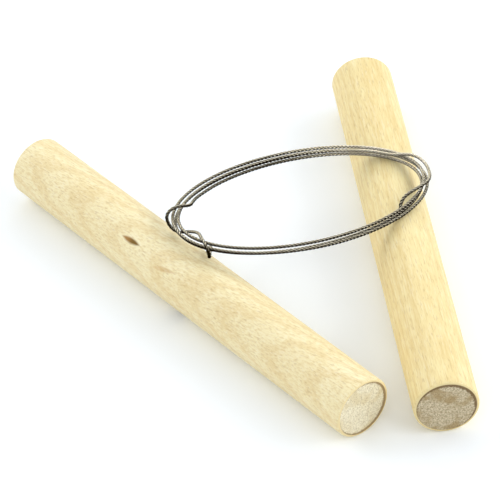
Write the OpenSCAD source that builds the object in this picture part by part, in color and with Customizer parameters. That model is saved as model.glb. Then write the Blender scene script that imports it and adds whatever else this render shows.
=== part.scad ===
// Wire clay cutter: two plain wooden dowel handles joined by one thin
// stranded steel wire. The tool lies on a table, +Z up, with its wire wound
// into a loose oval coil on top of both handles. Millimetres and degrees.

/* [Handles] */
// Length of each wooden handle
handle_l = 120; // [80:1:200]
// Diameter of each handle
handle_d = 15; // [10:0.5:25]
// Radius that rounds the rim of each handle end
edge_round = 0.6; // [0.2:0.1:2]

/* [Lie on the table] */
// Angle of the left handle from +X, turned clockwise seen from above
left_turn = 53.5; // [40:0.5:70]
// Angle of the right handle from +X, turned clockwise seen from above
right_turn = 86; // [75:0.5:95]
// Distance between the middles of the two handles along +X
mid_gap_x = 50; // [47:0.5:80]
// Distance between the middles of the two handles along +Y
mid_gap_y = 9.4; // [0:0.2:14]

/* [Cross holes] */
// Diameter of the hole that the wire passes through in each handle
hole_d = 1.5; // [1.3:0.1:3]
// Lean of the left handle's hole from upright, towards the coil's middle
hole_lean = 45; // [30:1:50]
// Diameter of the recess for the stop sleeve, on the far side of the handle
recess_d = 4; // [3.5:0.1:8]
// Depth of that recess
recess_depth = 5.5; // [5:0.1:7]

/* [Wire] */
// Diameter of the stranded wire
wire_d = 0.85; // [0.5:0.05:0.95]
// Free space between neighbouring turns of the coil
turn_gap = 0.46; // [0.45:0.01:0.8]
// Free space between the handles and the wire that lies over them
lay_gap = 0.35; // [0.3:0.05:1]
// Free space between the wire and the wood where it enters the left hole
mouth_gap = 0.5; // [0.4:0.05:0.6]

/* [Coil] */
// Length of the coil's mean loop
coil_l = 60; // [52:1:66]
// Width of the coil's mean loop
coil_w = 33.2; // [30:0.2:40]
// Turn of the coil's long axis from +X, counterclockwise seen from above
coil_turn = 12.5; // [5:0.5:20]
// Distance of the coil's middle from the left handle's middle along +X
coil_x = 27; // [26:0.1:28]
// Distance of the coil's middle from the left handle's middle along +Y
coil_y = 14.35; // [13.5:0.05:15]
// Number of turns in the coil
loops = 3.25; // [2.25:1:4.25]
// Angle on the mean loop at which the coil starts
coil_start = 140; // [138:1:142]

/* [Stop sleeves] */
// Diameter of the crimped sleeve that keeps a wire end in its handle
sleeve_d = 2.8; // [2:0.1:3.2]
// Length of that sleeve
sleeve_l = 4; // [3:0.1:4.2]
// Free space above the right sleeve, so that its handle can turn on the wire
sleeve_gap = 0.3; // [0.2:0.05:0.5]
// Length of wire that stands out of each sleeve
wire_stub = 0.5; // [0.2:0.1:0.6]

/* [Hidden] */

wood_color = "#EFD9A6";
wire_color = "#8C8880";
sleeve_color = "#B9BBBD";

round_fn = 96;
hole_fn = 32;
cut_over = 1;

handle_r = handle_d / 2;
wire_r = wire_d / 2;
pitch = wire_d + turn_gap;
pile_half = (pitch + wire_d) / 2;

// Half the length and width on the table of a handle turned by t degrees.
function half_x(t) = (handle_l / 2 - edge_round) * abs(cos(t))
    + (handle_r - edge_round) * abs(sin(t)) + edge_round;
function half_y(t) = half_x(90 - t);

// The middles of the handles: the box round both is centred on the origin.
left_mid = -[
    max(half_x(left_turn), mid_gap_x + half_x(right_turn))
        + min(-half_x(left_turn), mid_gap_x - half_x(right_turn)),
    max(half_y(left_turn), mid_gap_y + half_y(right_turn))
        + min(-half_y(left_turn), mid_gap_y - half_y(right_turn)),
    -handle_d] / 2;
right_mid = left_mid + [mid_gap_x, mid_gap_y, 0];

// Outward direction of the left hole, and the mouths of both holes.
left_out = [sin(left_turn) * sin(hole_lean), cos(left_turn) * sin(hole_lean), cos(hole_lean)];
left_mouth = left_mid + handle_r * left_out;
right_mouth = right_mid + [0, 0, handle_r];

// The coil's own coordinates: an angle on the mean loop, mm outwards from the
// loop, and mm above its plane. The plane lies on the right handle, and is
// propped up by one wire over the left handle.
low_z = handle_d + lay_gap + pile_half;
high_z = low_z + pitch;
function plane_z(x) = high_z + (low_z - high_z) * (x - left_mid.x) / mid_gap_x;
function turned(p, t) = [p.x * cos(t) - p.y * sin(t), p.x * sin(t) + p.y * cos(t)];
function in_coil(angle, out, up) =
    let (outward = [coil_w * cos(angle), coil_l * sin(angle)],
        loop = [coil_l * cos(angle), coil_w * sin(angle)] / 2,
        flat = turned(loop + out * outward / norm(outward), coil_turn),
        x = left_mid.x + coil_x + flat.x,
        y = left_mid.y + coil_y + flat.y)
    [x, y, plane_z(x) + up];

// The coil: it winds outwards in the lower layer, climbs in the half turn
// where it is widest, and winds inwards again in the upper layer.
loop_rings = 24;
function coil_out(turns) = pitch * (min(turns, loops - turns) - loops / 4);
function coil_up(turns) = pitch * (min(1, max(0, (turns - loops / 2) * 2 + 0.5)) - 0.5);
turn_marks = [for (i = [0 : loops * loop_rings]) i / loop_rings];
coil_points = [for (t = turn_marks) in_coil(coil_start - 360 * t, coil_out(t), coil_up(t))];

// A point beyond the end a of a line that comes from b.
function beyond(a, b, far) = a + far * (a - b) / norm(a - b);
coil_last = len(coil_points) - 1;
coil_head = beyond(coil_points[0], coil_points[1], wire_d);
coil_tail = beyond(coil_points[coil_last], coil_points[coil_last - 1], wire_d);
coil_route = concat([coil_head], coil_points, [coil_tail]);

// The left end of the wire, from its handle to the coil. It hooks under and
// over the other turns twice, with a plain stretch between the two hooks.
left_hooks = [
    [208.5, -3.4, -3.6], [209.8, -3.2, -2.6], [211.4, -2.3, -2.1], [213, -1.1, -2.1],
    [214.2, 0.2, -2.1], [215.1, 1.2, -1.85], [215.8, 1.95, -1.05], [216, 2.25, 0],
    [215.4, 2.1, 1.1], [213.6, 1.45, 1.9], [210.8, 0.5, 2.15], [207.6, -0.5, 2.15],
    [204.3, -1.35, 1.85], [200.5, -1.82, 1.35], [196, -1.98, 0.75], [191.5, -1.95, 0.1],
    [187.2, -1.75, -0.55], [183.3, -1.45, -1.2], [180, -0.95, -1.8], [177, -0.15, -2.15],
    [174.2, 0.75, -2], [172, 1.55, -1.35], [170.6, 2, -0.4], [169.6, 2.1, 0.6],
    [168.2, 1.7, 1.5], [166, 0.8, 2.1], [163.3, -0.3, 2.15], [160.7, -1.22, 1.9],
    [158.3, -1.76, 1.4], [155.5, -2, 0.9], [152.6, -2, 0.4], [149.9, -1.85, -0.05],
    [147.4, -1.5, -0.4]];
left_route = concat(
    [left_mouth + mouth_gap * left_out, left_mouth + 2 * mouth_gap * left_out],
    [for (p = left_hooks) in_coil(p[0], p[1], p[2])],
    [beyond(coil_head, coil_points[0], wire_d), coil_head]);

// The right end of the wire, from the coil to its stop. It rides outwards over
// the turns, back inwards over them, and dives into the hole.
right_hooks = [
    [42, -1.2, 0.85], [35, -1.3, 0.9], [28, -1.15, 1.25], [22, -0.65, 1.85],
    [16, 0.15, 2.15], [9.5, 0.95, 1.95], [3, 1.45, 1.35], [356, 1.5, 1], [349, 1.4, 1.2],
    [342.5, 1.1, 1.75], [336.5, 0.4, 2.1], [331.5, -0.4, 2.1], [327, -1.2, 1.8],
    [323, -1.8, 1.1], [319.6, -1.85, 0.1], [318, -1.62, -0.8]];
sleeve_top = recess_depth - sleeve_gap;
right_route = concat(
    [coil_tail, beyond(coil_tail, coil_points[coil_last], wire_d)],
    [for (p = right_hooks) in_coil(p[0], p[1], p[2])],
    [right_mouth - [0, 0, wire_d],
        [right_mouth.x, right_mouth.y, sleeve_top - sleeve_l - wire_stub]]);

// Least gap between turns, measured between the coil's points and its lines.
function line_gap(p, a, b) =
    let (s = min(1, max(0, (p - a) * (b - a) / ((b - a) * (b - a)))))
    norm(p - a - s * (b - a));
least_gap = min([for (i = [0 : coil_last], j = [i + loop_rings / 2 : 1 : coil_last - 1])
    line_gap(coil_points[i], coil_points[j], coil_points[j + 1])]) - wire_d;
echo(str("Least gap between the coil's turns: ", least_gap, " mm"));

// A tube along a route: rings whose direction is carried along without twist.
function unit(v) = v / norm(v);
function heading(p, i) = unit(p[min(i + 1, len(p) - 1)] - p[max(i - 1, 0)]);
function carried(p, i = 0, side = [0, 0, 1], done = []) =
    i == len(p) ? done :
    let (h = heading(p, i), s = unit(side - (side * h) * h))
    carried(p, i + 1, s, concat(done, [s]));

module tube(route, sides) {
    last = len(route) - 1;
    across = carried(route);
    points = [for (i = [0 : last], k = [0 : sides - 1])
        route[i] + wire_r * (cos(360 * k / sides) * across[i]
            + sin(360 * k / sides) * cross(heading(route, i), across[i]))];
    walls = [for (i = [0 : last - 1], k = [0 : sides - 1])
        let (a = i * sides + k, b = i * sides + (k + 1) % sides)
        each [[a, a + sides, b], [b, a + sides, b + sides]]];
    caps = [for (k = [1 : sides - 2])
        each [[0, k, k + 1], [last * sides, last * sides + k + 1, last * sides + k]]];
    polyhedron(points, concat(walls, caps));
}

// Half the lengthwise section of a handle, its rim rounded by true arcs.
module handle_section() {
    translate([0, -handle_l / 2]) square([handle_r - edge_round, handle_l]);
    translate([0, -handle_l / 2 + edge_round]) square([handle_r, handle_l - 2 * edge_round]);
    for (side = [-1, 1])
        translate([handle_r - edge_round, side * (handle_l / 2 - edge_round)])
            circle(r = edge_round, $fn = hole_fn);
}

// A handle along X with its cross hole leant towards +Y.
module handle(lean) {
    difference() {
        rotate([0, 90, 0]) rotate_extrude($fn = round_fn) handle_section();
        rotate([-lean, 0, 0]) {
            cylinder(d = hole_d, h = handle_d + 2 * cut_over, center = true, $fn = hole_fn);
            translate([0, 0, -handle_r - cut_over])
                cylinder(d = recess_d, h = recess_depth + cut_over, $fn = hole_fn);
        }
    }
}

// A crimped sleeve that stands on z = 0 with the wire's hole through it.
module stop_sleeve() {
    difference() {
        cylinder(d = sleeve_d, h = sleeve_l, $fn = hole_fn);
        translate([0, 0, -cut_over])
            cylinder(d = wire_d, h = sleeve_l + 2 * cut_over, $fn = hole_fn);
    }
}

// Places children that are drawn upright on the left handle's hole, with
// z = 0 at the handle's far side.
module on_left_hole() {
    translate(left_mid) rotate([0, 0, -left_turn]) rotate([-hole_lean, 0, 0])
        translate([0, 0, -handle_r]) children();
}

module handle_left() {
    color(wood_color) translate(left_mid) rotate([0, 0, -left_turn]) handle(hole_lean);
}

module handle_right() {
    color(wood_color) translate(right_mid) rotate([0, 0, -right_turn]) handle(0);
}

module wire_coil() {
    color(wire_color) tube(coil_route, 6);
}

module wire_left_run() {
    color(wire_color) tube(left_route, 8);
}

module wire_right_run() {
    color(wire_color) tube(right_route, 8);
}

// The straight end of the wire inside the left handle.
module wire_left_end() {
    end_z = recess_depth - sleeve_l - wire_stub;
    color(wire_color) on_left_hole() translate([0, 0, end_z])
        cylinder(d = wire_d, h = handle_d - end_z, $fn = hole_fn);
}

module stop_sleeve_left() {
    color(sleeve_color) on_left_hole() translate([0, 0, recess_depth - sleeve_l])
        stop_sleeve();
}

module stop_sleeve_right() {
    color(sleeve_color) translate([right_mouth.x, right_mouth.y, sleeve_top - sleeve_l])
        stop_sleeve();
}

handle_left();
handle_right();
wire_coil();
wire_left_run();
wire_right_run();
wire_left_end();
stop_sleeve_left();
stop_sleeve_right();
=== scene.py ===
import math

import bmesh
import bpy
from mathutils import Matrix, Vector, noise


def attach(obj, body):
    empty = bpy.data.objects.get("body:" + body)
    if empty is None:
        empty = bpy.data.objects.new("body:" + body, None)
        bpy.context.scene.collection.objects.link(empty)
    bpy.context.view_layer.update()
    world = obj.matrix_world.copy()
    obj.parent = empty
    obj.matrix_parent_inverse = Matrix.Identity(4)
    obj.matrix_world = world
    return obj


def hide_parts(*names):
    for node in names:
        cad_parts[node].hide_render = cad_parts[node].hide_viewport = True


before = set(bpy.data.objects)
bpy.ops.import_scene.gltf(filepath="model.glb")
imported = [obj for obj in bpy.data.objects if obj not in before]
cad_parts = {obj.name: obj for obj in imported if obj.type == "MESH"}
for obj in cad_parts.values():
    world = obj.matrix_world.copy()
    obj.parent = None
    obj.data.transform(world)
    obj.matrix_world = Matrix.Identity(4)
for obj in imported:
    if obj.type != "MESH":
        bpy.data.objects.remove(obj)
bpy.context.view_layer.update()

# ---------------------------------------------------------------------------
# The camera: it looks down on the tool from the near side, from about 0.8 m
# through a long lens, held slightly askew, with the tool in the middle.
# ---------------------------------------------------------------------------

mm = 0.001
look_at = Vector((4.0, 9.15, 0)) * mm
camera_distance = 801.8 * mm
camera_elevation = math.radians(40.884)
camera_roll = math.radians(-5.552)

camera_data = bpy.data.cameras.new("camera")
camera_data.sensor_width = 36
camera_data.lens = 241.68
camera_data.clip_start = 0.05
camera_data.clip_end = 50
camera = bpy.data.objects.new("camera", camera_data)
tilt = Matrix.Rotation(math.pi / 2 - camera_elevation, 4, "X")
backwards = tilt @ Vector((0, 0, 1))
camera.matrix_world = (
    Matrix.Translation(look_at + camera_distance * backwards)
    @ tilt
    @ Matrix.Rotation(camera_roll, 4, "Z")
)
bpy.context.collection.objects.link(camera)
bpy.context.scene.camera = camera

# ---------------------------------------------------------------------------
# The wire: one length of stainless steel wire, three strands twisted into a
# rope. It leaves the left handle, hooks twice round its own turns, makes the
# coil and dives into the right handle's hole.
# ---------------------------------------------------------------------------

wire_d = 0.85 * mm
turn_gap = 0.46 * mm
lay_gap = 0.35 * mm
pitch = wire_d + turn_gap
handle_l = 120 * mm
handle_d = 15 * mm
handle_r = handle_d / 2
edge_round = 0.6 * mm
left_turn = math.radians(53.5)
right_turn = math.radians(86)
hole_lean = math.radians(45)
between_middles = Vector((50, 9.4, 0)) * mm


def half_on_table(turn):
    """Half the box on the table of a handle turned by that angle from +X."""
    flat, round_part = handle_l / 2 - edge_round, handle_r - edge_round
    c, s = abs(math.cos(turn)), abs(math.sin(turn))
    square_part = Vector((flat * c + round_part * s, flat * s + round_part * c, 0))
    return square_part + edge_round * Vector((1, 1, 0))


left_half = half_on_table(left_turn)
right_half = half_on_table(right_turn)
left_mid = Vector((0, 0, handle_r))
for k in range(2):
    highest = max(left_half[k], between_middles[k] + right_half[k])
    lowest = min(-left_half[k], between_middles[k] - right_half[k])
    left_mid[k] = -(highest + lowest) / 2
right_mid = left_mid + between_middles
left_out = Vector((
    math.sin(left_turn) * math.sin(hole_lean),
    math.cos(left_turn) * math.sin(hole_lean),
    math.cos(hole_lean),
))
left_mouth = left_mid + handle_r * left_out
right_mouth = right_mid + Vector((0, 0, handle_r))

coil_l = 60 * mm
coil_w = 33.2 * mm
coil_turn = math.radians(12.5)
coil_mid = left_mid + Vector((27, 14.35, 0)) * mm
loops = 3.25
climb = 0.5
coil_start = 140
marks_per_loop = 24
low_z = handle_d + lay_gap + (pitch + wire_d) / 2


def in_coil(angle, out, up):
    """A point by its angle on the coil's mean loop, and how far outside and above the loop it is."""
    c, s = math.cos(math.radians(angle)), math.sin(math.radians(angle))
    outward = Vector((coil_w * c, coil_l * s, 0)).normalized()
    place = Vector((coil_l * c, coil_w * s, 0)) / 2 + out * outward
    place.rotate(Matrix.Rotation(coil_turn, 3, "Z"))
    place += coil_mid
    place.z = low_z + pitch * (1 - (place.x - left_mid.x) / between_middles.x) + up
    return place


def coil_point(turns):
    """The coil winds outwards below, climbs over half a loop where it is widest, and winds
    inwards above."""
    out = pitch * (min(turns, loops - turns) - loops / 4)
    up = pitch * (min(1, max(0, (turns - loops / 2) / climb + 0.5)) - 0.5)
    return in_coil(coil_start - 360 * turns, out, up)


# Each hook point is an angle in degrees, and millimetres out and up.
left_hooks = [
    (208.5, -3.4, -3.6), (209.8, -3.2, -2.6), (211.4, -2.3, -2.1), (213, -1.1, -2.1),
    (214.2, 0.2, -2.1), (215.1, 1.2, -1.85), (215.8, 1.95, -1.05), (216, 2.25, 0),
    (215.4, 2.1, 1.1), (213.6, 1.45, 1.9), (210.8, 0.5, 2.15), (207.6, -0.5, 2.15),
    (204.3, -1.35, 1.85), (200.5, -1.82, 1.35), (196, -1.98, 0.75), (191.5, -1.95, 0.1),
    (187.2, -1.75, -0.55), (183.3, -1.45, -1.2), (180, -0.95, -1.8), (177, -0.15, -2.15),
    (174.2, 0.75, -2), (172, 1.55, -1.35), (170.6, 2, -0.4), (169.6, 2.1, 0.6),
    (168.2, 1.7, 1.5), (166, 0.8, 2.1), (163.3, -0.3, 2.15), (160.7, -1.22, 1.9),
    (158.3, -1.76, 1.4), (155.5, -2, 0.9), (152.6, -2, 0.4), (149.9, -1.85, -0.05),
    (147.4, -1.5, -0.4),
]
right_hooks = [
    (42, -1.2, 0.85), (35, -1.3, 0.9), (28, -1.15, 1.25), (22, -0.65, 1.85),
    (16, 0.15, 2.15), (9.5, 0.95, 1.95), (3, 1.45, 1.35), (356, 1.5, 1), (349, 1.4, 1.2),
    (342.5, 1.1, 1.75), (336.5, 0.4, 2.1), (331.5, -0.4, 2.1), (327, -1.2, 1.8),
    (323, -1.8, 1.1), (319.6, -1.85, 0.1), (318, -1.62, -0.8),
]
in_mouth = 0.3 * mm
stub_z = 0.7 * mm
wire_route = [left_mouth - in_mouth * left_out, left_mouth + wire_d * left_out]
wire_route += [in_coil(angle, out * mm, up * mm) for angle, out, up in left_hooks]
wire_route += [coil_point(i / marks_per_loop) for i in range(int(loops * marks_per_loop) + 1)]
wire_route += [in_coil(angle, out * mm, up * mm) for angle, out, up in right_hooks]
wire_route += [
    right_mouth - Vector((0, 0, wire_d)),
    Vector((right_mouth.x, right_mouth.y, (right_mouth.z + stub_z) / 2)),
    Vector((right_mouth.x, right_mouth.y, stub_z)),
]


def eased(route, steps):
    """A smooth line through the wire's points, with the gap between two points cut into steps."""
    line = []
    for i in range(len(route) - 1):
        a, b, c, d = (route[min(max(i + k, 0), len(route) - 1)] for k in (-1, 0, 1, 2))
        gap = (c - b).length
        rise = (c - a) * gap / ((b - a).length + gap)
        fall = (d - b) * gap / ((d - c).length + gap)
        for k in range(steps):
            t = k / steps
            line.append(
                (2 * t**3 - 3 * t**2 + 1) * b + (t**3 - 2 * t**2 + t) * rise
                + (3 * t**2 - 2 * t**3) * c + (t**3 - t**2) * fall
            )
    return line + [route[-1]]


def add_node(tree, kind, settings=None, inputs=None, out=None):
    """Adds a node with its settings, and its inputs as values or as sockets to link. It returns
    the node's first output, or the one named out."""
    node = tree.nodes.new(kind)
    for key, value in (settings or {}).items():
        setattr(node, key, value)
    for key, value in (inputs or {}).items():
        socket = node.inputs[key] if isinstance(key, int) else next(
            s for s in node.inputs if s.name == key and s.enabled)
        if isinstance(value, bpy.types.NodeSocket):
            tree.links.new(value, socket)
        else:
            socket.default_value = value
    return next((s for s in node.outputs if s.enabled and out in (None, s.name)), None)


def linear(hex_colour):
    """The linear colour of an sRGB hex value."""
    parts = [int(hex_colour[i:i + 2], 16) / 255 for i in (1, 3, 5)]
    return [p / 12.92 if p <= 0.04045 else ((p + 0.055) / 1.055) ** 2.4 for p in parts] + [1]


def new_material(name):
    """An empty material and its tree."""
    material = bpy.data.materials.new(name)
    material.use_nodes = True
    material.node_tree.nodes.clear()
    return material, material.node_tree


def stainless_steel():
    """Drawn stainless steel with bright strand backs and duller patches that hands leave. A
    brown-black painted shade darkens the grooves between the strands and the undersides of the
    turns."""
    bright_steel, dull_steel = linear("#FFFAEA"), linear("#C4B893")
    # The colour of the painted shade in the grooves and under the turns.
    painted_shade_colour = linear("#1A1204")
    material, tree = new_material("drawn_stainless_steel")
    place = add_node(tree, "ShaderNodeTexCoord", out="Object")
    # The duller patches are 5 mm long.
    patches = add_node(tree, "ShaderNodeTexNoise", inputs={
        "Vector": place, "Scale": 1 / (5 * mm), "Detail": 3.0})
    back = add_node(tree, "ShaderNodeMix", {"data_type": "RGBA"}, {
        "Factor": patches, "A": bright_steel, "B": dull_steel})
    # At the coil's far right, where it shows brighter, the painted shade keeps to deeper grooves and
    # steeper undersides.
    far_right = add_node(tree, "ShaderNodeVectorMath", {"operation": "DOT_PRODUCT"}, {
        0: place, 1: (0.35, 0.93, 0)}, out="Value")
    at_far_right = add_node(tree, "ShaderNodeMapRange", {"interpolation_type": "SMOOTHSTEP"}, {
        "Value": far_right, "From Min": 22 * mm, "From Max": 33 * mm})
    groove = add_node(tree, "ShaderNodeAttribute", {"attribute_name": "groove"}, out="Fac")
    normal = add_node(tree, "ShaderNodeNewGeometry", out="Normal")
    facing_up = add_node(tree, "ShaderNodeSeparateXYZ", inputs={"Vector": normal}, out="Z")
    # The painted shade is full deep between the strands and where the surface faces sideways or
    # down, away from the light above, and fades out on the strand backs that face up; there the
    # steel is not metal.
    painted_shade = 0.0
    for out_or_up, far_right_lift, shaded_below, unshaded_above in (
        (groove, 0.22, 0.74, 0.93),
        (facing_up, 0.28, 0.58, 0.86),
    ):
        out_or_up = add_node(tree, "ShaderNodeMath", {"operation": "MULTIPLY_ADD"}, {
            0: at_far_right, 1: far_right_lift, 2: out_or_up})
        painted_shade_share = add_node(tree, "ShaderNodeMapRange", {"interpolation_type": "SMOOTHSTEP"}, {
            "Value": out_or_up, "From Min": shaded_below, "From Max": unshaded_above,
            "To Min": 1.0, "To Max": 0.0})
        painted_shade = add_node(tree, "ShaderNodeMath", {"operation": "MAXIMUM"}, {0: painted_shade, 1: painted_shade_share})
    colour = add_node(tree, "ShaderNodeMix", {"data_type": "RGBA"}, {
        "Factor": painted_shade, "A": back, "B": painted_shade_colour})
    unshaded = add_node(tree, "ShaderNodeMath", {"operation": "SUBTRACT"}, {0: 1.0, 1: painted_shade})
    rough = add_node(tree, "ShaderNodeMapRange", inputs={
        "Value": patches, "From Min": 0.3, "From Max": 0.7, "To Min": 0.1, "To Max": 0.25})
    steel = add_node(tree, "ShaderNodeBsdfPrincipled", inputs={
        "Base Color": colour, "Metallic": unshaded, "Roughness": rough, "Specular IOR Level": 0.0})
    add_node(tree, "ShaderNodeOutputMaterial", inputs={"Surface": steel})
    return material


def strand_tree():
    """Twists strands round each other along a line of edges. The attribute groove is how far out
    the surface is, as a share of the wire's radius: 1 on the strands' backs."""
    tree = bpy.data.node_groups.new("laid_strands", "GeometryNodeTree")
    for name, kind in (
        ("Line", "NodeSocketGeometry"), ("Wire diameter", "NodeSocketFloat"),
        ("Lay length", "NodeSocketFloat"), ("Strands", "NodeSocketInt"),
        ("Ring spacing", "NodeSocketFloat"), ("Strand sides", "NodeSocketInt"),
        ("Steel", "NodeSocketMaterial"),
    ):
        tree.interface.new_socket(name, in_out="INPUT", socket_type=kind)
    tree.interface.new_socket("Wire", in_out="OUTPUT", socket_type="NodeSocketGeometry")
    given = tree.nodes.new("NodeGroupInput").outputs
    curve = add_node(tree, "GeometryNodeMeshToCurve", inputs={"Mesh": given["Line"]})
    curve = add_node(tree, "GeometryNodeResampleCurve", {"mode": "LENGTH"}, {
        "Curve": curve, "Length": given["Ring spacing"]})
    position = add_node(tree, "GeometryNodeInputPosition")
    curve = add_node(tree, "GeometryNodeStoreNamedAttribute", {"data_type": "FLOAT_VECTOR"}, {
        "Geometry": curve, "Name": "axis_point", "Value": position})
    copies = tree.nodes.new("GeometryNodeDuplicateElements")
    copies.domain = "SPLINE"
    tree.links.new(curve, copies.inputs["Geometry"])
    tree.links.new(given["Strands"], copies.inputs["Amount"])
    # Three equal strands that touch have radii of 0.232 of the rope's thickness, and their
    # middles lie 0.268 of it from the rope's own.
    strand_r = add_node(tree, "ShaderNodeMath", {"operation": "MULTIPLY"}, {
        0: given["Wire diameter"], 1: 0.232})
    helix_r = add_node(tree, "ShaderNodeMath", {"operation": "MULTIPLY"}, {
        0: given["Wire diameter"], 1: 0.268})
    along = add_node(tree, "GeometryNodeSplineParameter", out="Length")
    laid = add_node(tree, "ShaderNodeMath", {"operation": "DIVIDE"}, {
        0: along, 1: given["Lay length"]})
    start = add_node(tree, "ShaderNodeMath", {"operation": "DIVIDE"}, {
        0: copies.outputs["Duplicate Index"], 1: given["Strands"]})
    turns = add_node(tree, "ShaderNodeMath", {"operation": "ADD"}, {0: laid, 1: start})
    angle = add_node(tree, "ShaderNodeMath", {"operation": "MULTIPLY"}, {0: turns, 1: math.tau})
    normal = add_node(tree, "GeometryNodeInputNormal")
    tangent = add_node(tree, "GeometryNodeInputTangent")
    across = add_node(tree, "ShaderNodeVectorMath", {"operation": "CROSS_PRODUCT"}, {
        0: tangent, 1: normal})
    offset = (0, 0, 0)
    for operation, direction in (("COSINE", normal), ("SINE", across)):
        swing = add_node(tree, "ShaderNodeMath", {"operation": operation}, {0: angle})
        reach = add_node(tree, "ShaderNodeMath", {"operation": "MULTIPLY"}, {0: helix_r, 1: swing})
        part = add_node(tree, "ShaderNodeVectorMath", {"operation": "SCALE"}, {
            0: direction, "Scale": reach})
        offset = add_node(tree, "ShaderNodeVectorMath", {"operation": "ADD"}, {0: offset, 1: part})
    strands = add_node(tree, "GeometryNodeSetPosition", inputs={
        "Geometry": copies.outputs["Geometry"], "Offset": offset})
    section = add_node(tree, "GeometryNodeCurvePrimitiveCircle", inputs={
        "Resolution": given["Strand sides"], "Radius": strand_r})
    wire = add_node(tree, "GeometryNodeCurveToMesh", inputs={
        "Curve": strands, "Profile Curve": section, "Fill Caps": True})
    centre = add_node(tree, "GeometryNodeInputNamedAttribute", {"data_type": "FLOAT_VECTOR"}, {
        "Name": "axis_point"})
    off_axis = add_node(tree, "ShaderNodeVectorMath", {"operation": "DISTANCE"}, {
        0: position, 1: centre}, out="Value")
    wire_r = add_node(tree, "ShaderNodeMath", {"operation": "MULTIPLY"}, {
        0: given["Wire diameter"], 1: 0.5})
    share = add_node(tree, "ShaderNodeMath", {"operation": "DIVIDE"}, {0: off_axis, 1: wire_r})
    wire = add_node(tree, "GeometryNodeStoreNamedAttribute", {"data_type": "FLOAT"}, {
        "Geometry": wire, "Name": "groove", "Value": share})
    wire = add_node(tree, "GeometryNodeRemoveAttribute", inputs={
        "Geometry": wire, "Name": "axis_point"})
    wire = add_node(tree, "GeometryNodeSetShadeSmooth", inputs={"Geometry": wire})
    wire = add_node(tree, "GeometryNodeRealizeInstances", inputs={"Geometry": wire})
    wire = add_node(tree, "GeometryNodeSetMaterial", inputs={
        "Geometry": wire, "Material": given["Steel"]})
    add_node(tree, "NodeGroupOutput", inputs={"Wire": wire})
    return tree


lay_of_strands = strand_tree()
wire_steel = stainless_steel()
# Three strands with a lay of 2.7 mm show a strand's back every 0.9 mm along the wire.
lay_length = 2.7 * mm
strand_count = 3
strand_sides = 8
ring_spacing = 0.22 * mm


def stranded(name, line):
    """A piece of the stranded wire along a line of points."""
    mesh = bpy.data.meshes.new(name)
    mesh.from_pydata(line, [(i, i + 1) for i in range(len(line) - 1)], [])
    draft = bpy.data.objects.new(name + "_line", mesh)
    bpy.context.collection.objects.link(draft)
    laying = draft.modifiers.new("strands", "NODES")
    laying.node_group = lay_of_strands
    sizes = {"Wire diameter": wire_d, "Lay length": lay_length, "Strands": strand_count,
             "Ring spacing": ring_spacing, "Strand sides": strand_sides, "Steel": wire_steel}
    for item in lay_of_strands.interface.items_tree:
        if item.name in sizes:
            laying[item.identifier] = sizes[item.name]
    finished = bpy.data.meshes.new_from_object(
        draft.evaluated_get(bpy.context.evaluated_depsgraph_get()))
    finished.name = name
    wire = bpy.data.objects.new(name, finished)
    bpy.context.collection.objects.link(wire)
    bpy.data.objects.remove(draft)
    return wire


steps_per_gap = 6
wire_line = eased(wire_route, steps_per_gap)
wire = stranded("coiled_wire", wire_line)
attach(wire, "wire")
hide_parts("wire_coil", "wire_left_run", "wire_right_run")

# ---------------------------------------------------------------------------
# The wire's left end: the same wire, straight through the left handle's
# leaning hole to its stop. It turns with the handle.
# ---------------------------------------------------------------------------

recess_depth = 5.5 * mm
sleeve_l = 4 * mm
wire_stub = 0.5 * mm
left_foot = left_mid - handle_r * left_out
end_depth = recess_depth - sleeve_l - wire_stub
wire_end = stranded("wire_left_end_stranded", [
    left_foot + end_depth * left_out, left_mid, left_mouth - in_mouth * left_out])
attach(wire_end, "left")
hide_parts("wire_left_end")

# ---------------------------------------------------------------------------
# The two stops: short aluminium sleeves, pressed on to the wire's ends. They
# sit in the drilled recesses on the handles' undersides.
# ---------------------------------------------------------------------------


def crimped_aluminium():
    """Soft aluminium, pressed in jaws: a dull grey skin with fine lighter scuffs."""
    bright_scuff, dull_skin = linear("#C4C5C7"), linear("#94969A")
    material, tree = new_material("crimped_aluminium")
    place = add_node(tree, "ShaderNodeTexCoord", out="Object")
    # The scuffs are 0.3 mm wide.
    scuffs = add_node(tree, "ShaderNodeTexNoise", inputs={
        "Vector": place, "Scale": 1 / (0.3 * mm), "Detail": 4.0})
    colour = add_node(tree, "ShaderNodeMix", {"data_type": "RGBA"}, {
        "Factor": scuffs, "A": bright_scuff, "B": dull_skin})
    rough = add_node(tree, "ShaderNodeMapRange", inputs={
        "Value": scuffs, "To Min": 0.35, "To Max": 0.6})
    bump = add_node(tree, "ShaderNodeBump", inputs={
        "Height": scuffs, "Strength": 0.4, "Distance": 0.03 * mm})
    metal = add_node(tree, "ShaderNodeBsdfPrincipled", inputs={
        "Base Color": colour, "Metallic": 1.0, "Roughness": rough, "Normal": bump})
    add_node(tree, "ShaderNodeOutputMaterial", inputs={"Surface": metal})
    return material


sleeve_metal = crimped_aluminium()
for side in ("left", "right"):
    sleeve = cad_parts["stop_sleeve_" + side]
    sleeve.data.materials[0] = sleeve_metal

# ---------------------------------------------------------------------------
# The left handle: a bare dowel of pale close-grained hardwood, sawn to
# length, sanded and drilled across for the wire. Its grain runs out of the
# side, which gives the tan figure, and it has a small pin knot.
# ---------------------------------------------------------------------------

hole_d = 1.5 * mm
recess_d = 4 * mm
drill_sides = 48


def sawn_end(radius, angle, seed):
    """How far a sawn end lies below its flat face: torn pores and the saw's faint marks."""
    y, z = radius * math.cos(angle) / mm, radius * math.sin(angle) / mm
    tears = noise.fractal(Vector((y * 0.9, z * 0.9, seed)), 1.0, 2.0, 4)
    marks = noise.noise(Vector((y * 2.2, z * 0.25, seed + 9)))
    return max(0, 0.025 + 0.025 * tears + 0.015 * marks) * mm


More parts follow.
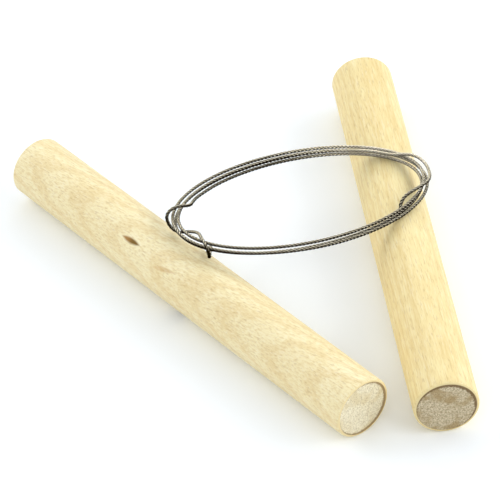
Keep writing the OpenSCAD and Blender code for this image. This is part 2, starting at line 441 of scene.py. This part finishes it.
def dowel(name, middle, turn, lean, seed):
    """A dowel, its axis turned clockwise by turn from +X, with its leaning cross hole. Its mesh is
    rings from end to end: the place along the dowel, the radius, and whether it is sawn wood."""
    around, side_step, cap_rings, rim_steps = 120, 1.5 * mm, 16, 5
    flat_r = handle_r - edge_round
    cap = [flat_r * (i / cap_rings) ** 0.8 for i in range(cap_rings)]
    half = [(handle_l / 2, r, True) for r in cap]
    for i in range(rim_steps + 1):
        a = math.pi / 2 * i / rim_steps
        set_back = edge_round * (1 - math.cos(a))
        half.append((handle_l / 2 - set_back, flat_r + edge_round * math.sin(a), False))
    steps = round((handle_l - 2 * edge_round) / side_step)
    straight = handle_l / 2 - edge_round
    side = [(straight * (1 - 2 * i / steps), handle_r, False) for i in range(1, steps)]
    rings = half + side + [(-x, r, sawn) for x, r, sawn in reversed(half)]
    # The saw's marks fade out over the last 0.5 mm before the rim, and the faces that lie
    # wholly within 0.2 mm of an end show sawn wood.
    fade_w = 0.5 * mm
    end_face = handle_l / 2 - 0.2 * mm
    shape = bmesh.new()
    rows = []
    for x, r, sawn in rings:
        if r == 0:
            rows.append([shape.verts.new((x, 0, 0))])
            continue
        row = []
        for i in range(around):
            a = math.tau * i / around
            sunk = 0.0
            if sawn:
                fade = min(1, (flat_r - r) / fade_w)
                sunk = fade * sawn_end(r, a, seed + (x > 0)) * math.copysign(1, x)
            row.append(shape.verts.new((x - sunk, r * math.cos(a), r * math.sin(a))))
        rows.append(row)
    for first, second in zip(rows, rows[1:]):
        for i in range(around):
            a, b = first[i % len(first)], first[(i + 1) % len(first)]
            c, d = second[(i + 1) % len(second)], second[i % len(second)]
            corners = [v for k, v in enumerate((a, d, c, b)) if v not in (a, d, c, b)[:k]]
            face = shape.faces.new(corners)
            face.material_index = int(all(abs(v.co.x) > end_face for v in corners))
    bmesh.ops.recalc_face_normals(shape, faces=shape.faces)
    mesh = bpy.data.meshes.new(name)
    shape.to_mesh(mesh)
    shape.free()
    body = bpy.data.objects.new(name, mesh)
    bpy.context.collection.objects.link(body)
    drills = []
    for drill_d, high in ((hole_d, handle_d), (recess_d, recess_depth - handle_r)):
        low = -handle_d
        drill = bmesh.new()
        bmesh.ops.create_cone(drill, cap_ends=True, segments=drill_sides, radius1=drill_d / 2,
                              radius2=drill_d / 2, depth=high - low)
        bmesh.ops.translate(drill, verts=drill.verts, vec=(0, 0, (high + low) / 2))
        bmesh.ops.rotate(drill, verts=drill.verts, matrix=Matrix.Rotation(-lean, 3, "X"))
        drill_mesh = bpy.data.meshes.new("drill")
        drill.to_mesh(drill_mesh)
        drill.free()
        drills.append(bpy.data.objects.new("drill", drill_mesh))
        bpy.context.collection.objects.link(drills[-1])
        cut = body.modifiers.new("drilled", "BOOLEAN")
        cut.object = drills[-1]
        cut.solver = "EXACT"
    drilled = bpy.data.meshes.new_from_object(
        body.evaluated_get(bpy.context.evaluated_depsgraph_get()))
    drilled.name = name
    drilled.transform(Matrix.Translation(middle) @ Matrix.Rotation(-turn, 4, "Z"))
    drilled.shade_smooth()
    drilled.set_sharp_from_angle(angle=math.radians(40))
    bpy.data.objects.remove(body)
    for drill in drills:
        bpy.data.objects.remove(drill)
    handle = bpy.data.objects.new(name, drilled)
    bpy.context.collection.objects.link(handle)
    return handle


def wood_figure(tree, middle, turn, grain, pith, ring_gap, wobble, fibre_l):
    """The wood's solid figure. It returns the place in millimetres along and across the dowel, the
    year rings from 0 to 1, and the fibres and pores. grain is how the wood grew in the dowel, and
    pith is where the tree's middle was."""
    place = add_node(tree, "ShaderNodeTexCoord", out="Object")
    on_dowel = add_node(tree, "ShaderNodeMapping", {"vector_type": "TEXTURE"}, {
        "Vector": place, "Location": middle, "Rotation": (0, 0, -turn), "Scale": (mm, mm, mm)})
    in_wood = add_node(tree, "ShaderNodeMapping", {"vector_type": "TEXTURE"}, {
        "Vector": on_dowel, "Rotation": grain})
    from_pith = add_node(tree, "ShaderNodeMapping", {"vector_type": "POINT"}, {
        "Vector": in_wood, "Location": pith})
    # A wave texture of scale 1 has a ring every 0.314 mm.
    wave_gap = 0.314
    rings = add_node(tree, "ShaderNodeTexWave", {
        "wave_type": "RINGS", "rings_direction": "X", "wave_profile": "SIN"}, {
        "Vector": from_pith, "Scale": wave_gap / ring_gap, "Distortion": wobble, "Detail": 2.0,
        "Detail Scale": 0.16 * ring_gap / wave_gap, "Detail Roughness": 0.45}, out="Fac")
    # The fibres are drawn 0.3 mm wide, coarser than the real ones, so that they show.
    fibre_w = 0.3
    stretched = add_node(tree, "ShaderNodeMapping", {"vector_type": "POINT"}, {
        "Vector": in_wood, "Scale": (fibre_w / fibre_l, 1, 1)})
    fibres = add_node(tree, "ShaderNodeTexNoise", inputs={
        "Vector": stretched, "Scale": 2.6, "Detail": 3.0, "Roughness": 0.7})
    # The pores are dashes 0.25 mm wide and 2 mm long.
    dashes = add_node(tree, "ShaderNodeMapping", {"vector_type": "POINT"}, {
        "Vector": in_wood, "Location": (0, 31, 7), "Scale": (0.12, 1, 1)})
    pores = add_node(tree, "ShaderNodeTexNoise", inputs={
        "Vector": dashes, "Scale": 3.6, "Detail": 1.0, "Roughness": 0.4})
    return on_dowel, rings, fibres, pores


def tinted(tree, colour, tint, figure, low, high, at_low=0.0, at_high=1.0):
    """A colour with a tint laid over it, in a share that follows the wood's figure: at_low where
    the figure is low and at_high where it is high."""
    share = add_node(tree, "ShaderNodeMapRange", {"interpolation_type": "SMOOTHSTEP"}, {
        "Value": figure, "From Min": low, "From Max": high, "To Min": at_low, "To Max": at_high})
    return add_node(tree, "ShaderNodeMix", {"data_type": "RGBA"}, {
        "Factor": share, "A": colour, "B": tint})


def side_grain(name, figure, colours, flecks, marks=()):
    """Sanded bare hardwood along the grain: cream early wood, tan late wood, fine fibres and
    pores, and a soft sheen. flecks is how much the fibres show. marks are small brown pin
    marks: place, size, turn, colours of the far and near end, and strength."""
    material, tree = new_material(name)
    on_dowel, rings, fibres, pores = wood_figure(tree, **figure)
    cream, tan, late, fibre_dark = (linear(c) for c in colours)
    fibre_pale, pore_brown = linear("#FFF6DC"), linear("#B08A55")
    # The broad warmer patches are 14 mm across.
    patches = add_node(tree, "ShaderNodeTexNoise", inputs={
        "Vector": on_dowel, "Scale": 1 / 14, "Detail": 2.0})
    colour = tinted(tree, cream, tan, patches, 0.38, 0.66, 0.0, 0.5)
    colour = tinted(tree, colour, late, rings, 0.35, 1.0, 0.0, 0.4)
    colour = tinted(tree, colour, fibre_dark, fibres, 0.45, 0.68, 0.0, flecks)
    colour = tinted(tree, colour, fibre_pale, fibres, 0.34, 0.48, 0.7 * flecks, 0.0)
    colour = tinted(tree, colour, pore_brown, pores, 0.6, 0.7, 0.0, 0.25)
    # A pin mark is a dull pit: it has little of the wood's sheen.
    sheen = 0.5
    for place, size, turned, (far_colour, near_colour), strength in marks:
        near = add_node(tree, "ShaderNodeMapping", {"vector_type": "TEXTURE"}, {
            "Vector": on_dowel, "Location": place, "Rotation": (0, 0, math.radians(turned)),
            "Scale": size})
        along = add_node(tree, "ShaderNodeSeparateXYZ", inputs={"Vector": near}, out="X")
        across = add_node(tree, "ShaderNodeMath", {"operation": "ABSOLUTE"}, {
            0: along.node.outputs["Y"]})
        pointed = add_node(tree, "ShaderNodeMath", {"operation": "MULTIPLY_ADD"}, {
            0: along, 1: along, 2: across})
        ragged = add_node(tree, "ShaderNodeMath", {"operation": "MULTIPLY_ADD"}, {
            0: fibres, 1: 0.6, 2: pointed})
        mark = tinted(tree, linear(far_colour), linear(near_colour), along, -0.45, 0.25)
        # It is a pit about 4 mm deep and doesn't come out on the dowel's other side.
        depth = add_node(tree, "ShaderNodeMapRange", {"interpolation_type": "SMOOTHSTEP"}, {
            "Value": along.node.outputs["Z"], "From Min": -5, "From Max": -3})
        stained = add_node(tree, "ShaderNodeMapRange", {"interpolation_type": "SMOOTHSTEP"}, {
            "Value": ragged, "From Min": 0.75, "From Max": 1.75, "To Min": strength, "To Max": 0.0})
        covered = add_node(tree, "ShaderNodeMath", {"operation": "MULTIPLY"}, {
            0: stained, 1: depth})
        colour = add_node(tree, "ShaderNodeMix", {"data_type": "RGBA"}, {
            "Factor": covered, "A": colour, "B": mark})
        clear = add_node(tree, "ShaderNodeMath", {"operation": "SUBTRACT"}, {0: 1.0, 1: covered})
        sheen = add_node(tree, "ShaderNodeMath", {"operation": "MULTIPLY"}, {0: clear, 1: sheen})
    pitted = add_node(tree, "ShaderNodeMapRange", {"interpolation_type": "SMOOTHSTEP"}, {
        "Value": pores, "From Min": 0.6, "From Max": 0.72})
    relief = add_node(tree, "ShaderNodeMath", {"operation": "SUBTRACT"}, {0: fibres, 1: pitted})
    bump = add_node(tree, "ShaderNodeBump", inputs={
        "Height": relief, "Strength": 0.35, "Distance": 0.05 * mm})
    rough = add_node(tree, "ShaderNodeMapRange", {"interpolation_type": "SMOOTHSTEP"}, {
        "Value": fibres, "From Min": 0.3, "From Max": 0.7, "To Min": 0.5, "To Max": 0.62})
    wood = add_node(tree, "ShaderNodeBsdfPrincipled", inputs={
        "Base Color": colour, "Roughness": rough, "IOR": 1.5, "Specular IOR Level": sheen,
        "Normal": bump})
    add_node(tree, "ShaderNodeOutputMaterial", inputs={"Surface": wood})
    return material


def end_grain(name, figure, colours, wide_rim_side):
    """The same wood sawn across: greyer, mottled and open-pored, with a brown rim that is wider
    towards one side, given in degrees."""
    material, tree = new_material(name)
    on_dowel, rings, _, pores = wood_figure(tree, **figure)
    pale, grey, brown, rim, eased_rim = (linear(c) for c in colours)
    # Mottles are drawn 0.5 mm across, so that they show, and brown stains 5 mm.
    mottles = add_node(tree, "ShaderNodeTexNoise", inputs={
        "Vector": on_dowel, "Scale": 1 / 0.5, "Detail": 3.0, "Roughness": 0.7})
    stains = add_node(tree, "ShaderNodeTexNoise", inputs={
        "Vector": on_dowel, "Scale": 1 / 5, "Detail": 3.0})
    colour = tinted(tree, pale, grey, mottles, 0.42, 0.6)
    colour = tinted(tree, colour, brown, rings, 0.5, 0.95, 0.0, 0.15)
    colour = tinted(tree, colour, brown, stains, 0.48, 0.66, 0.0, 0.75)
    colour = tinted(tree, colour, rim, pores, 0.56, 0.68, 0.0, 0.45)
    flat = add_node(tree, "ShaderNodeVectorMath", {"operation": "MULTIPLY"}, {
        0: on_dowel, 1: (0, 1, 1)})
    radius = add_node(tree, "ShaderNodeVectorMath", {"operation": "LENGTH"}, {0: flat}, out="Value")
    towards = (0, math.cos(math.radians(wide_rim_side)), math.sin(math.radians(wide_rim_side)))
    leaning = add_node(tree, "ShaderNodeVectorMath", {"operation": "DOT_PRODUCT"}, {
        0: on_dowel, 1: towards}, out="Value")
    # The rim's inner edge is 7% nearer the middle on its wide side, and ragged by 0.8 mm.
    lopsided = add_node(tree, "ShaderNodeMath", {"operation": "MULTIPLY_ADD"}, {
        0: leaning, 1: 0.07, 2: radius})
    ragged = add_node(tree, "ShaderNodeMath", {"operation": "MULTIPLY_ADD"}, {
        0: mottles, 1: 0.8, 2: lopsided})
    colour = tinted(tree, colour, rim, ragged, 6.65, 7.1, 0.0, 0.85)
    colour = tinted(tree, colour, eased_rim, radius, 6.75, 6.95)
    bump = add_node(tree, "ShaderNodeBump", inputs={
        "Height": mottles, "Strength": 0.4, "Distance": 0.08 * mm})
    wood = add_node(tree, "ShaderNodeBsdfPrincipled", inputs={
        "Base Color": colour, "Roughness": 0.75, "IOR": 1.5, "Normal": bump})
    add_node(tree, "ShaderNodeOutputMaterial", inputs={"Surface": wood})
    return material


left_figure = {
    "middle": left_mid, "turn": left_turn,
    "grain": (math.radians(48), math.radians(5), math.radians(10)),
    "pith": (0, 4, 42), "ring_gap": 2.6, "wobble": 3.0, "fibre_l": 1.2,
}
pin_knot = [
    ((-16.1, -4.87, 5.72), (3.0, 0.5, 1), 3, ("#A87C46", "#7A5A22"), 0.95),
    ((-3.2, -5.5, 5.0), (3.4, 0.4, 1), 10, ("#DDBA80", "#CBA264"), 0.5),
]
left_handle = dowel("left_dowel_handle", left_mid, left_turn, hole_lean, seed=3)
left_handle.data.materials.append(side_grain(
    "sanded_hardwood_slanting_grain", left_figure,
    ("#FCF1C4", "#F5E4B0", "#E8CE92", "#DFC588"), 0.55, pin_knot))
left_handle.data.materials.append(end_grain(
    "sawn_end_grain_pale", left_figure,
    ("#F6EFD4", "#DFD7B9", "#DED0A6", "#8A6C38", "#EFDDA9"), -35))
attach(left_handle, "left")
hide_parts("handle_left")

# ---------------------------------------------------------------------------
# The right handle: the same bare dowel, sawn from a straighter, yellower
# length of the same wood, with fine lines along it. The wire goes straight
# down into its upright hole.
# ---------------------------------------------------------------------------

right_figure = {
    "middle": right_mid, "turn": right_turn,
    "grain": (math.radians(35), math.radians(0.8), math.radians(0.6)),
    "pith": (0, 30, 25), "ring_gap": 1.5, "wobble": 1.4, "fibre_l": 3.4,
}
right_handle = dowel("right_dowel_handle", right_mid, right_turn, 0, seed=8)
right_handle.data.materials.append(side_grain(
    "sanded_hardwood_straight_grain", right_figure,
    ("#F9E9AF", "#F2DC9E", "#E7CD8A", "#E0C483"), 0.42))
right_handle.data.materials.append(end_grain(
    "sawn_end_grain_grey", right_figure,
    ("#D8CCAE", "#AC9F80", "#A28A5A", "#6C5228", "#EBD9A2"), 60))
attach(right_handle, "right")
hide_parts("handle_right")

# ---------------------------------------------------------------------------
# The table: a wide sheet of plain matt white card, which isn't part of the
# tool. It is so bright that only the tool's soft shadows show on it.
# ---------------------------------------------------------------------------


def matt_white():
    """Matt white card. The camera and reflections see it as clear white with a trace of blue, and
    its light on the tool is that of plain card."""
    plain_card = (0.92, 0.92, 0.92, 1)
    seen_card = (1.02, 1.07, 1.12, 1)
    material, tree = new_material("matt_white_card")
    ray = tree.nodes.new("ShaderNodeLightPath").outputs
    seen = add_node(tree, "ShaderNodeMath", {"operation": "MAXIMUM"}, {
        0: ray["Is Camera Ray"], 1: ray["Is Glossy Ray"]})
    seen = add_node(tree, "ShaderNodeMath", {"operation": "MAXIMUM"}, {
        0: seen, 1: ray["Is Transmission Ray"]})
    colour = add_node(tree, "ShaderNodeMix", {"data_type": "RGBA"}, {
        "Factor": seen, "A": plain_card, "B": seen_card})
    card = add_node(tree, "ShaderNodeBsdfDiffuse", inputs={"Color": colour})
    add_node(tree, "ShaderNodeOutputMaterial", inputs={"Surface": card})
    return material


half_table = 3.0
table_z = -0.02 * mm
table_mesh = bpy.data.meshes.new("table")
table_mesh.from_pydata(
    [(x * half_table, y * half_table, table_z) for x, y in ((-1, -1), (1, -1), (1, 1), (-1, 1))],
    [], [(0, 1, 2, 3)])
table_mesh.materials.append(matt_white())
table = bpy.data.objects.new("table", table_mesh)
bpy.context.collection.objects.link(table)

# ---------------------------------------------------------------------------
# The light: a bright even room, a long lamp behind the tool and soft lamps on
# its other sides, the strongest at its right and left, for the short shadows.
# ---------------------------------------------------------------------------

room = bpy.data.worlds.new("room")
room.use_nodes = True
room.node_tree.nodes["Background"].inputs["Color"].default_value = (1, 1, 1, 1)
room.node_tree.nodes["Background"].inputs["Strength"].default_value = 0.54
bpy.context.scene.world = room


def lamp(name, towards, distance, width, height, share):
    """A rectangular lamp in one direction from the tool. It lights a white card that faces it to
    that share of white."""
    data = bpy.data.lights.new(name, "AREA")
    data.shape = "RECTANGLE"
    data.size = width
    data.size_y = height
    data.energy = share * math.pi ** 2 * distance ** 2
    light = bpy.data.objects.new(name, data)
    direction = Vector(towards).normalized()
    facing = direction.to_track_quat("Z", "Y").to_matrix().to_4x4()
    light.matrix_world = Matrix.Translation(direction * distance) @ facing
    bpy.context.collection.objects.link(light)


lamp("long_lamp_behind", (0.21, 1.3, 1), 1.0, 0.9, 0.4, 0.17)
lamp("soft_lamp_right", (1.0, 0.15, 0.55), 1.0, 1.0, 0.5, 0.34)
lamp("soft_lamp_left", (-1.0, 0.5, 0.7), 1.2, 1.0, 0.8, 0.36)
lamp("soft_lamp_front", (-0.2, -1.0, 0.9), 1.4, 1.2, 0.6, 0.12)
lamp("soft_lamp_front_right", (1.0, -0.7, 0.8), 1.4, 0.8, 0.6, 0.2)

bpy.context.scene.view_settings.view_transform = "Standard"
